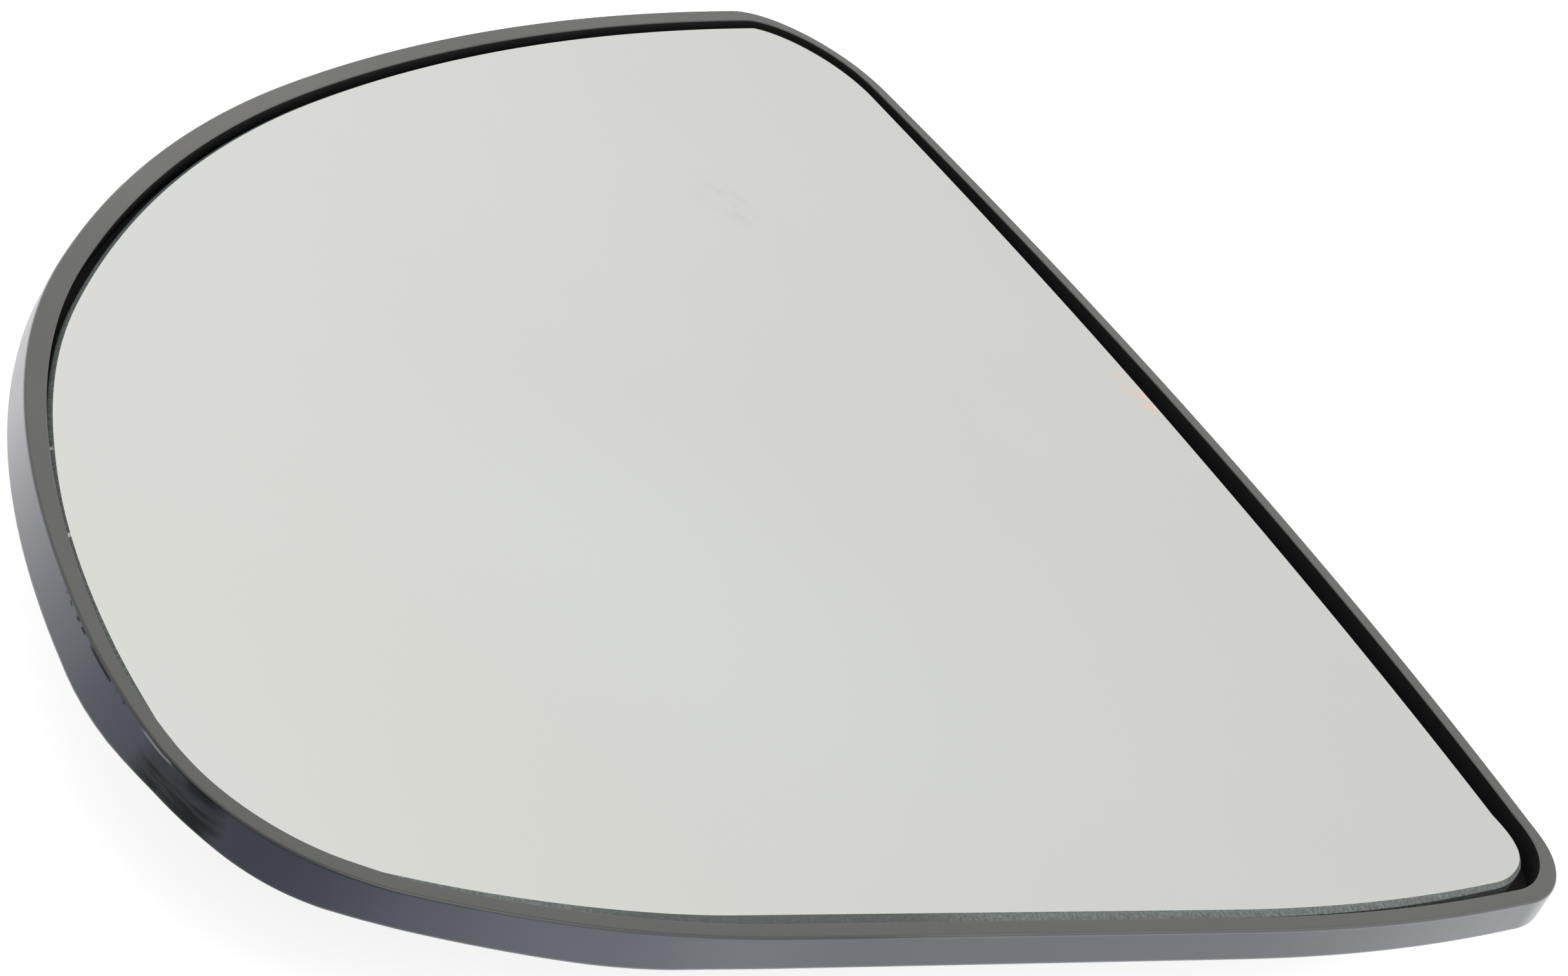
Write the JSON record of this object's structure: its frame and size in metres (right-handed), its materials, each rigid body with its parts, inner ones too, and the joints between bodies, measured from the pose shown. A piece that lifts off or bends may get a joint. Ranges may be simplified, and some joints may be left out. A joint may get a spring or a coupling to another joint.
{
  "type": "car door mirror glass",
  "caption": "Driver's side door mirror glass bonded into a thin black carrier with a raised rim, a snap ring and rod sockets on its back.",
  "frame": {"origin": "on the axis of the snap ring, in the plane of its mouth, which the part lies on", "axes": "+Z out of the mirror, +X inboard, towards the car, and +Y up the mirror"},
  "size_m": [0.1885, 0.1354, 0.0136],
  "materials": {
    "carrier_plastic": "satin black moulding",
    "silvered_glass": "polished, with ground edges",
    "foam_tape": "matte closed cell foam"
  },
  "bodies": {
    "root": {"carrier": "carrier_plastic", "mirror_glass": "silvered_glass", "adhesive_pad": "foam_tape"}
  },
  "joints": []
}
